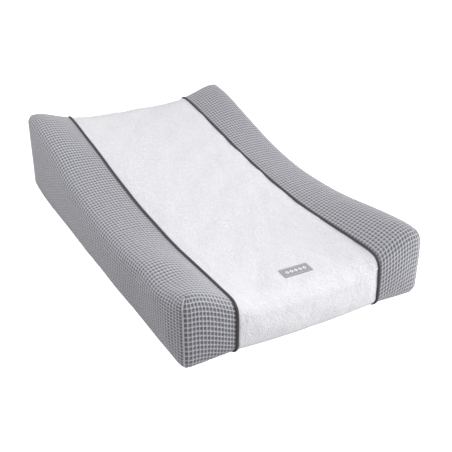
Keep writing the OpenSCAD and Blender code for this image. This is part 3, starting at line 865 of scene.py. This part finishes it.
def waffle_grids(side):
    """The side panel's grids: its top, its side wall and its two end walls. The data of each point
    is the two weave coordinates in cells and how strong the relief is."""
    columns = np.arange(CELLS_TO_CREST * PER_CELL + 1)
    xs = side * (SEAM_X + PANEL_EDGE + columns * CELL_W / PER_CELL)
    rows = np.arange(CELLS_ALONG * PER_CELL + 1)
    ys = -CORE_Y + rows * CELL_L / PER_CELL
    u, v = np.meshgrid(columns / PER_CELL, rows / PER_CELL)
    full = np.ones_like(u)
    grids = [(top_grid(xs, ys), np.stack([u, v, full], -1))]

    half_turns = QUARTER / 2 * np.arange(CORNER_CELLS * PER_CELL + 1) / (CORNER_CELLS * PER_CELL)
    beyond = np.arange(1, CORNER_CELLS * PER_CELL + 1) / PER_CELL
    foot = corner_stations(side, -1, QUARTER - half_turns[1:][::-1])
    head = corner_stations(side, 1, QUARTER - half_turns[1:])
    ring = np.concatenate([foot, side_stations(ys, side), head])
    ring_v = np.concatenate([-beyond[::-1], rows / PER_CELL, CELLS_ALONG + beyond])
    spacing = CELL_W / PER_CELL
    points, f = wall(ring, spacing, every=PER_CELL)
    u, v = np.meshgrid(CELLS_TO_CREST + np.arange(f.shape[1]) / PER_CELL, ring_v)
    strength = relief_under(ring, spacing, f)
    grids.append((gather(points, f), np.stack([u, v, strength], -1)))

    for end in (-1, 1):
        corner = corner_stations(side, end, half_turns[1:])
        ring = np.concatenate([end_stations(xs, end), corner])
        ring_u = np.concatenate([columns / PER_CELL, CELLS_TO_CREST + beyond])
        spacing = END_CELL / PER_CELL
        points, f = wall(ring, spacing, every=PER_CELL)
        start = CELLS_ALONG if end > 0 else 0
        v, u = np.meshgrid(start + end * np.arange(f.shape[1]) / PER_CELL, ring_u)
        strength = relief_under(ring, spacing, f)
        grids.append((gather(points, f), np.stack([u, v, strength], -1)))
    return [(grid, values, faces_inward(grid)) for grid, values in grids]


def relief_under(st, spacing, f):
    """The relief of a wall's cells, which fades under the pad as they close up."""
    length = (f.shape[1] - 1) * spacing - edge_length(st)
    closing = clamp((CORE_X - HEM_X) / length)[:, None]
    return 1 - (1 - clamp(1.3 * closing - 0.1)) * clamp(f * 8)


def make_side_panel(side, name, node):
    points, data, quads = welded(*joined(waffle_grids(side)))
    flat_area = surface_area(points, quads)
    relief = waffle_relief(data[:, 0], data[:, 1])
    normals = point_normals(points, quads)
    depth = (1 - relief) * WAFFLE_DEPTH * data[:, 2] + ditch(points)
    shaped = grounded(settled(points) - normals * depth[:, None], LOWEST)
    # The per-point attribute given here is the mask of the painted shade in the cells, strongest in
    # the pits.
    piece = make_piece(
        name, shaped, faces_of(quads), WAFFLE, "waffle", [node],
        uv=data[:, :2], pit=(1 - relief) * (0.35 + 0.65 * data[:, 2]),
    )
    return piece, flat_area


def make_centre_panel():
    half = SEAM_X - PANEL_EDGE
    xs = np.linspace(-half, half, 2 * round(half / TERRY_GRID) + 1)
    ys = np.linspace(-CORE_Y, CORE_Y, 2 * round(CORE_Y / TERRY_GRID) + 1)
    u, v = np.meshgrid(xs, ys)
    grids = [(top_grid(xs, ys), np.stack([u, v], -1))]
    for end in (-1, 1):
        ring = end_stations(xs, end)
        points, f = wall(ring, TERRY_GRID)
        v, u = np.meshgrid(end * (CORE_Y + np.arange(f.shape[1]) * TERRY_GRID), xs)
        grids.append((gather(points, f), np.stack([u, v], -1)))
    grids = [(grid, values, faces_inward(grid)) for grid, values in grids]
    points, data, quads = welded(*joined(grids))
    flat_area = surface_area(points, quads)
    rng = np.random.default_rng(5)
    nap = NAP * np.clip(rng.normal(size=len(points)), -2, 2)
    creases = 0.0006 * waves(points, 0.07, 31) + 0.0004 * waves(points, 0.03, 32)
    under_label = clamp(1.5 - label_distance(points) / 0.006)
    above = clamp(points[:, 2] / ABOVE_FLOOR)
    height = (nap + creases) * above * (1 - under_label) - ditch(points)
    shaped = settled(points) + point_normals(points, quads) * height[:, None]
    shaped = grounded(shaped, LOWEST)
    piece = make_piece(
        "cover_terry_panel", shaped, faces_of(quads), TERRY, "terry", ["cover_centre_panel"],
        uv=data,
    )
    return piece, flat_area


def seam_line(x, spacing, lift):
    """The line over the pad along a seam at x, from hem to hem, lifted outwards."""
    parts = []
    ys = np.linspace(-CORE_Y, CORE_Y, round(2 * CORE_Y / spacing) + 1)
    top = top_grid(np.array([x]), ys)[:, 0]
    for end in (-1, 1):
        points, f = wall(end_stations(np.array([x]), end), spacing)
        parts.append(gather(points, f)[0])
    line = np.concatenate([parts[0][:0:-1], top, parts[1][1:]])
    outward = np.cross(np.array([1.0, 0, 0]), unit(np.gradient(line, axis=0)))
    return settled(line) + outward * lift


def make_piping(x, name, node):
    line = seam_line(x, SEAM_STEP, PIPING_PROUD - DITCH_DEPTH * 0.5)
    line = grounded(line, PIPING_R + LOWEST)
    side = np.tile([1.0, 0, 0], (len(line), 1))
    points, faces, uv = tube(line, side, PIPING_R, 14)
    make_piece(name, points, faces, PIPING, "piping", [node], uv=uv)


def corner_line(side, end):
    """The line of a corner's seam, from below the rim to the lower edge, and its sideways way."""
    st = corner_stations(side, end, np.array([QUARTER / 2]))
    points, _ = wall(st, SEAM_STEP, under=0)
    line = grounded(settled(points[0, 4:]), RIDGE_R)
    return line, np.tile([-st[0, 3], st[0, 2], 0.0], (len(line), 1))


def make_corner_seams():
    """Flat sewn ridges down the four corners."""
    parts = []
    for side in (-1, 1):
        for end in (-1, 1):
            parts.append(tube(*corner_line(side, end), RIDGE_R, 10, flatten=0.55))
    points, faces, uv = gathered(parts)
    make_piece("cover_corner_seams", points, faces, HEM_CLOTH, "waffle", ["corner_seams"], uv=uv)


# ------------------------------------------------------------------ hem

SLIT_W = 0.020
HEM_STEP = 0.0016
CLOTH_T = 0.0005
EASE = 0.0003
HEM_SQUARE, FOLD_SWELL, HEM_SWELL = 0.6, 0.13, 0.06


def rounded_loop(half_x, half_y, r, spacing):
    """Points round a rounded rectangle, with the outward direction at each."""
    centres = [(half_x - r, half_y - r), (r - half_x, half_y - r),
               (r - half_x, r - half_y), (half_x - r, r - half_y)]
    points, outward = [], []
    steps_round = math.ceil(r * QUARTER / spacing)
    for k, (cx, cy) in enumerate(centres):
        turns = k * QUARTER + QUARTER * np.arange(steps_round + 1) / steps_round
        arc = np.stack([cx + r * np.cos(turns), cy + r * np.sin(turns)], -1)
        direction = np.stack([np.cos(turns), np.sin(turns)], -1)
        next_centre = centres[(k + 1) % 4]
        following = np.array(next_centre) + r * direction[-1]
        count = round(np.linalg.norm(following - arc[-1]) / spacing)
        steps = (np.arange(1, count) / count)[:, None]
        points += [arc, arc[-1] + (following - arc[-1]) * steps]
        outward += [direction, np.repeat(direction[-1:], count - 1, axis=0)]
    return np.concatenate(points), np.concatenate(outward)


def make_hem_casing():
    """A gathered tube of cotton round the opening, with a short slit where the elastic goes in."""
    half = CASING_W / 2
    loop, outward = rounded_loop(HEM_X - half, HEM_Y - half, HEM_CORNER_R - half, HEM_STEP)
    sides, middle = 16, HEM_H / 2
    angles = 2 * math.pi * np.arange(sides) / sides
    squared = np.stack([np.cos(angles), np.sin(angles)], -1)
    squared = np.sign(squared) * abs(squared) ** HEM_SQUARE
    level = np.concatenate([loop, np.zeros((len(loop), 1))], 1)
    fold = np.sin(gather_phase(level))
    swell = np.clip(1 + FOLD_SWELL * fold + HEM_SWELL * waves(level, 0.02, 22), 0.6, 1.1)
    rings = len(loop)
    k = np.arange(sides)[None, :]
    quads = ring_quads(rings, sides, closed=True)
    at_slit = (abs(loop[:, None, 0]) < SLIT_W / 2) & (loop[:, None, 1] > 0)
    inner = (k > sides * 3 // 8) & (k < sides * 5 // 8)
    kept = quads[~(at_slit & inner)].reshape(-1, 4)
    walls = []
    for inset in (0.0, CLOTH_T):
        width = (half - EASE - inset) * squared[None, :, 0] * (0.96 + 0.06 * fold)[:, None]
        height = (middle - EASE - inset) * squared[None, :, 1] * swell[:, None]
        xy = loop[:, None] + width[..., None] * outward[:, None]
        walls.append(np.concatenate([xy, (middle + height)[..., None]], -1).reshape(-1, 3))
    edges = np.concatenate([kept[:, [a, (a + 1) % 4]] for a in range(4)])
    keys = {tuple(e) for e in edges.tolist()}
    rim = [e for e in keys if e[::-1] not in keys]
    count = len(walls[0])
    faces = kept.tolist() + (kept[:, ::-1] + count).tolist()
    faces += [[b, a, a + count, b + count] for a, b in rim]
    run = np.arange(rings)[:, None] * HEM_STEP + 0 * k
    uv = np.stack([run, (angles * half)[None, :] + 0 * run], -1).reshape(-1, 2)
    casing = make_piece(
        "hem_casing_cloth", np.concatenate(walls), faces, HEM_CLOTH, "hem_fabric",
        ["hem_casing"], uv=np.concatenate([uv, uv]),
    )
    length = float(np.linalg.norm(np.roll(loop, -1, 0) - loop, axis=1).sum())


# ------------------------------------------------------------------ labels

LABEL_W, LABEL_L = 0.051, 0.022
LABEL_X, LABEL_Y = 0.008, -HALF_LENGTH + 0.059
LABEL_T = 0.0010
LABEL_R = 0.0025
BORDER_IN, BORDER_W = 0.0016, 0.0007
SEWN_IN, SEWN_W, SEWN_DEPTH = 0.0028, 0.0005, 0.0003
LABEL_EDGE_T, LABEL_EDGE_R, LABEL_LIFT = 0.0004, 0.0010, 0.0002
LABEL_STITCH = (0.0026, 0.0019, 0.00028)
TAG_T, TAG_CURL, TAG_RIPPLE = 0.0003, 0.0016, 0.0003


def label_distance(points):
    """Distance outside the label's outline on the top of the pad, below zero within it."""
    past_x = abs(points[..., 0] - LABEL_X) - LABEL_W / 2
    past_y = abs(points[..., 1] - LABEL_Y) - LABEL_L / 2
    high = np.where(points[..., 2] > 0.05, 0, 1)
    return np.maximum(past_x, past_y) + high


def make_label():
    nx, ny = 80, 40
    x, y = np.meshgrid(np.linspace(-1, 1, nx + 1), np.linspace(-1, 1, ny + 1))
    x, y = x * LABEL_W / 2, y * LABEL_L / 2
    cx, cy = np.clip(abs(x), 0, LABEL_W / 2 - LABEL_R), np.clip(abs(y), 0, LABEL_L / 2 - LABEL_R)
    px, py = abs(x) - cx, abs(y) - cy
    reach = np.hypot(px, py)
    shrink = np.where(reach > 0, np.maximum(px, py) / np.maximum(reach, 1e-9), 1)
    x, y = np.sign(x) * (cx + px * shrink), np.sign(y) * (cy + py * shrink)
    edge = np.minimum(LABEL_W / 2 - abs(x), LABEL_L / 2 - abs(y))
    edge = np.minimum(edge, LABEL_R - np.hypot(px, py) * shrink + 0 * edge)
    border = clamp(1 - abs(edge - BORDER_IN) / BORDER_W)
    rounded = np.sqrt(clamp(1 - clamp(1 - edge / LABEL_EDGE_R) ** 2))
    sewn = SEWN_DEPTH * bell(edge - SEWN_IN, SEWN_W)
    z = pad_top(x + LABEL_X, y + LABEL_Y)
    top = settled(np.stack([x + LABEL_X, y + LABEL_Y, z], -1))
    upper, lower = top.copy(), top.copy()
    upper[..., 2] += LABEL_EDGE_T + LABEL_T * rounded - sewn
    lower[..., 2] += LABEL_LIFT
    uv = np.stack([x, y], -1)
    data = np.concatenate([uv, border[..., None]], -1)
    points, data, faces = two_sided(upper, lower, data)
    label = make_piece(
        "sewn_label", points, faces, LABEL, "label", ["woven_label"],
        uv=data[:, :2], border=data[:, 2],
    )
    loop, _ = rounded_loop(LABEL_W / 2 - SEWN_IN, LABEL_L / 2 - SEWN_IN, 0.001, 0.0008)
    loop = np.concatenate([loop, loop[:1]]) + [LABEL_X, LABEL_Y]
    path = np.concatenate([loop, pad_top(loop[:, :1], loop[:, 1:])], 1)
    path = settled(path) + [0, 0, LABEL_T + LABEL_LIFT]
    up = np.tile([0, 0, 1.0], (len(path), 1))
    points, faces, uv = stitch_row(path, up, *LABEL_STITCH)
    make_piece("label_stitching", points, faces, THREAD, "label", uv=uv)


def make_care_tag():
    """A blank satin tag that hangs from the hem, curled and slightly rippled at its free end."""
    low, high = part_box("care_tag")
    x, y = np.meshgrid(np.linspace(low.x, high.x, 21), np.linspace(low.y, high.y, 17))
    t = (high.y - y) / (high.y - low.y)
    ripple = TAG_RIPPLE * np.sin((x - low.x) * 190) * t
    z = (low.z + high.z) / 2 - TAG_CURL * np.sin(t * 2.4) * t + ripple
    lower, upper = np.stack([x, y, z], -1), np.stack([x, y, z + TAG_T], -1)
    points, uv, faces = two_sided(upper, lower, np.stack([x, y], -1))
    tag = make_piece("satin_care_tag", points, faces, SATIN, "satin", ["care_tag"], uv=uv)


# ------------------------------------------------------------------ waterproof case

CASE_INSET, CASE_BASE, CASE_T = 0.0036, 0.0055, 0.0008
TAPE_INSET, TAPE_BASE, TAPE_T = 0.0032, 0.0052, 0.0003
CASE_GRID = 0.008
CREASE = 0.0003
SLOT_X, SLOT_Y = 0.0065, 0.256


def make_case_piece(name, node, grids, material, slot, thickness, creases):
    """One sheet of the case: its grids welded, lightly creased and given its thickness."""
    prepared = [(grid, grid[..., :2], faces_inward(grid)) for grid in grids]
    points, data, quads = welded(*joined(prepared))
    flat_area = surface_area(points, quads)
    normals = point_normals(points, quads)
    dent = creases * (waves(points, 0.09, 41) + 0.5 * waves(points, 0.035, 42) - 1.2)
    shaped = settled(points) + normals * dent[:, None]
    piece = make_piece(name, shaped, faces_of(quads), material, slot, [node], uv=data)
    thicken(piece, thickness)
    return piece, flat_area


def make_case():
    xs, ys, ring = whole_ring(CASE_GRID)
    around = lambda low, high, n: stepped(ring, np.linspace(low, high, n), CASE_INSET, CASE_BASE)
    bottom = around(2.5, 3, 4)
    slot = np.clip(bottom[:, -1, :2], (-SLOT_X, -SLOT_Y), (SLOT_X, SLOT_Y))
    share = np.linspace(0, 1, 26)[None, :, None]
    inward = bottom[:, -1:, :2] * (1 - share) + slot[:, None] * share
    inward = np.concatenate([inward, np.full((*inward.shape[:2], 1), CASE_BASE)], -1)
    width, length = 2 * (HALF_WIDTH - CASE_INSET), 2 * (HALF_LENGTH - CASE_INSET)
    girth = 2 * (width + length)
    band_w = HEAD_CREST - CASE_BASE
    for name, node, grids, flat in (
        ("case_top_cloth", "case_top_sheet",
         [top_grid(xs, ys, CASE_INSET), around(0, 0.5, 5)], (width, length * 1.03)),
        ("case_band_cloth", "case_side_band", [around(0.5, 2.5, 22)], (band_w, girth)),
        ("case_bottom_cloth", "case_bottom_sheet", [bottom, inward], (width, length)),
    ):
        piece, area = make_case_piece(name, node, grids, COATED, "coated_sheet", CASE_T, CREASE)
    for name, node, low in (("case_top_tape", "case_top_seam_tape", 0.25),
                            ("case_bottom_tape", "case_bottom_seam_tape", 2.25)):
        band = stepped(ring, np.linspace(low, low + 0.5, 6), TAPE_INSET, TAPE_BASE)
        piece, area = make_case_piece(name, node, [band], SEAM_TAPE, "seam_tape", TAPE_T, 0.0)
        width = (RIM_R if low < 1 else LOW_R) * QUARTER / 2


# ------------------------------------------------------------------ foam

FOAM_INSET, FOAM_BASE, FOAM_JOINT, GLUE = 0.0060, 0.0085, 0.118, 0.0001
FOAM_GRID = 0.007
FOAM_WAVE = 0.0004
FOAM_STEPS = np.concatenate([
    np.linspace(0, 1, 6), np.linspace(1, 2, 12)[1:], np.linspace(2, 3, 6)[1:],
])


def make_foam(name, node, x_from, x_to):
    """A block of foam cut by planes at x_from and x_to, or rounded where it reaches the side."""
    count = max(2, round(abs(x_to - x_from) / FOAM_GRID))
    xs = np.linspace(x_from, x_to, count + 1)
    ys = np.linspace(-CORE_Y, CORE_Y, 2 * round(CORE_Y / FOAM_GRID) + 1)
    top = top_grid(xs, ys, FOAM_INSET)
    outer = abs(x_to) > FOAM_JOINT + 0.001
    around = lambda st: stepped(st, FOAM_STEPS, FOAM_INSET, FOAM_BASE)
    if outer:
        side, turns = np.sign(x_to), QUARTER * np.linspace(0, 1, 7)
        ring = np.concatenate([
            end_stations(xs[:-1], -1), corner_stations(side, -1, turns),
            side_stations(ys[1:-1], side), corner_stations(side, 1, turns[::-1]),
            end_stations(xs[:-1][::-1], 1),
        ])
        walls = [around(ring)]
        cuts = [(walls[0][0], top[:, 0], walls[0][-1])]
        base = walls[0][:, -1]
    else:
        walls = [around(end_stations(xs, -1)), around(end_stations(xs, 1))]
        cuts = [(walls[0][k], top[:, k], walls[1][k]) for k in (0, -1)]
        base = np.concatenate([walls[0][:, -1], walls[1][::-1, -1]])
    grids = [top, *walls]
    points, _, quads = joined([(g, g[..., :2], faces_inward(g)) for g in grids])
    caps = [np.concatenate([foot[:0:-1], line, head[1:]]) for foot, line, head in cuts] + [base]
    faces, start = quads.tolist(), len(points)
    centre = points.mean(0)
    for cap in caps:
        loop = list(range(start, start + len(cap)))
        normal = np.cross(cap, np.roll(cap, -1, axis=0)).sum(0)
        faces.append(loop if normal @ (cap.mean(0) - centre) > 0 else loop[::-1])
        start += len(cap)
    points = settled(np.concatenate([points, *caps]))
    points[:, 2] += FOAM_WAVE * waves(points, 0.05, 51)
    first, which = merged(points)
    clean = []
    for face in faces:
        corners = list(dict.fromkeys(which[face].tolist()))
        if len(corners) > 2:
            clean.append(corners)
    piece = make_piece(name, points[first], clean, FOAM, "foam", [node])
    piece.data.polygons.foreach_set("use_smooth", [len(f) < 5 for f in clean])


# ------------------------------------------------------------------ zip

ZIP_HALF, COIL_PITCH = 0.250, 0.0015
COIL_IN, COIL_OUT, WIRE_R = 0.00045, 0.0031, 0.00035
COIL_STEPS = 12
TAPE_WAVE, TAPE_CORD = 0.00015, 0.0002
CORD_AT, CORD_W, TAPE_FULL = 0.16, 0.04, 0.8
ZIP_STITCH, ZIP_ROWS = (0.0036, 0.0026, 0.0002), (0.0085, 0.0125)


def make_coil(side, name, node):
    """The nylon coil of one side: a flattened helix sewn along the tape's edge."""
    low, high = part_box(node)
    turns = int((high.y - low.y) / COIL_PITCH) - 1
    t = np.arange(turns * COIL_STEPS + 1) / COIL_STEPS
    middle_x, reach = (COIL_IN + COIL_OUT) / 2, (COIL_OUT - COIL_IN) / 2 - WIRE_R
    middle_z, rise = (low.z + high.z) / 2, (high.z - low.z) / 2 - WIRE_R
    angle = 2 * math.pi * t
    path = np.stack([
        side * (middle_x + reach * np.cos(angle)), low.y + WIRE_R + (t + side / 4) * COIL_PITCH,
        middle_z + rise * np.sin(angle)], -1)
    points, faces, uv = tube(path, np.tile([0, 1.0, 0], (len(path), 1)), WIRE_R, 6)
    make_piece(name, points, faces, NYLON, "zip_coil", [node], uv=uv)


def make_zip_tape(side, name, node):
    """Woven tape with a corded inner edge and a slight wave, and its stitching to the case."""
    low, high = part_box(node)
    x, y = np.meshgrid(np.linspace(low.x, high.x, 25), np.linspace(low.y, high.y, 260))
    from_teeth = (side * x - min(abs(low.x), abs(high.x))) / (high.x - low.x)
    z = low.z - TAPE_WAVE * np.sin(y * 55 + side) * from_teeth
    z = z - TAPE_CORD * bell(from_teeth - CORD_AT, CORD_W)
    grid = np.stack([x, y, z], -1)
    points, uv, quads = joined([(grid, grid[..., :2], False)])
    piece = make_piece(name, points, quads.tolist(), TAPE, "zip_tape", [node], uv=uv)
    thicken(piece, (high.z - low.z) * TAPE_FULL)
    parts = []
    for x in ZIP_ROWS:
        y = np.linspace(-ZIP_HALF, ZIP_HALF, 200)
        line = np.stack([np.full(200, side * x), y, np.full(200, low.z - 0.00005)], -1)
        parts.append(stitch_row(line, np.tile([0, 0, -1.0], (200, 1)), *ZIP_STITCH))
    points, faces, uv = gathered(parts)
    make_piece(name + "_stitching", points, faces, THREAD, "zip_tape", uv=uv)


# ------------------------------------------------------------------ stage and light

FLOOR_SIZE, FLOOR_Z = 40.0, -0.0002
CORNERS_ROUND = ((-1, -1), (1, -1), (1, 1), (-1, 1))


def make_stage():
    """A white floor. Its glow lights the floor alone, and the lamps and the world light the pad."""
    finish = Finish("pale_floor", Roughness=0.9)
    finish.shader.inputs["Base Color"].default_value = (0.60, 0.60, 0.60, 1)
    finish.shader.inputs["Emission Color"].default_value = (1, 1, 1, 1)
    finish.shader.inputs["Emission Strength"].default_value = 0.95
    mesh = bpy.data.meshes.new("floor")
    corners = [(x * FLOOR_SIZE, y * FLOOR_SIZE, FLOOR_Z) for x, y in CORNERS_ROUND]
    mesh.from_pydata(corners, [], [(0, 1, 2, 3)])
    mesh.materials.append(finish.material)
    floor = bpy.data.objects.new("floor", mesh)
    scene.collection.objects.link(floor)
    lit_by_glow = bpy.data.collections.new("lit_by_floor_glow")
    lit_by_glow.objects.link(floor)
    floor.light_linking.receiver_collection = lit_by_glow


def area_light(name, place, target, size, power):
    data = bpy.data.lights.new(name, "AREA")
    data.size, data.energy = size, power
    light = bpy.data.objects.new(name, data)
    light.location = place
    light.rotation_mode = "QUATERNION"
    light.rotation_quaternion = (Vector(target) - Vector(place)).to_track_quat("-Z", "Y")
    scene.collection.objects.link(light)


def make_lights():
    world = bpy.data.worlds.new("studio")
    world.use_nodes = True
    background = world.node_tree.nodes["Background"]
    background.inputs["Color"].default_value = (1.0, 1.0, 1.0, 1)
    background.inputs["Strength"].default_value = 0.6
    scene.world = world
    for name, place, size, power in (
        ("over_foot", (0, -0.9, 1.6), 1.0, 8.2),
        ("left_high", (-1.0, 0.2, 1.5), 1.0, 13),
        ("right_foot", (1.3, -1.3, 0.6), 1.0, 16.8),
        ("right_near", (0.75, -0.75, 0.4), 0.4, 1.5),
    ):
        area_light(name, place, (0, 0, 0.08), size, power)
    scene.view_settings.view_transform = "Standard"


# ------------------------------------------------------------------ build

for side, name in ((-1, "left"), (1, "right")):
    panel, area = make_side_panel(side, f"cover_{name}_waffle_panel", f"cover_{name}_panel")
    make_piping(side * SEAM_X, f"{name}_piping_cord", f"{name}_piping")
terry, area = make_centre_panel()
make_corner_seams()
make_hem_casing()
make_label()
make_care_tag()
make_case()
make_foam("foam_core_base", "foam_base", GLUE - FOAM_JOINT, FOAM_JOINT - GLUE)
for side, name in ((-1, "left"), (1, "right")):
    inner, outer = side * (FOAM_JOINT + GLUE), side * CORE_X
    make_foam(f"foam_core_{name}_bolster", f"foam_{name}_bolster", inner, outer)
    make_coil(side, f"zip_{name}_coil", f"zip_{name}_teeth")
    make_zip_tape(side, f"zip_{name}_woven_tape", f"zip_{name}_tape")

for node, finish in {
    "zip_end_stops": METAL, "zip_slider": METAL, "zip_pull": METAL, "hem_elastic": ELASTIC,
}.items():
    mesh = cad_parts[node].data
    mesh.materials.clear()
    mesh.materials.append(finish)

make_stage()
make_lights()
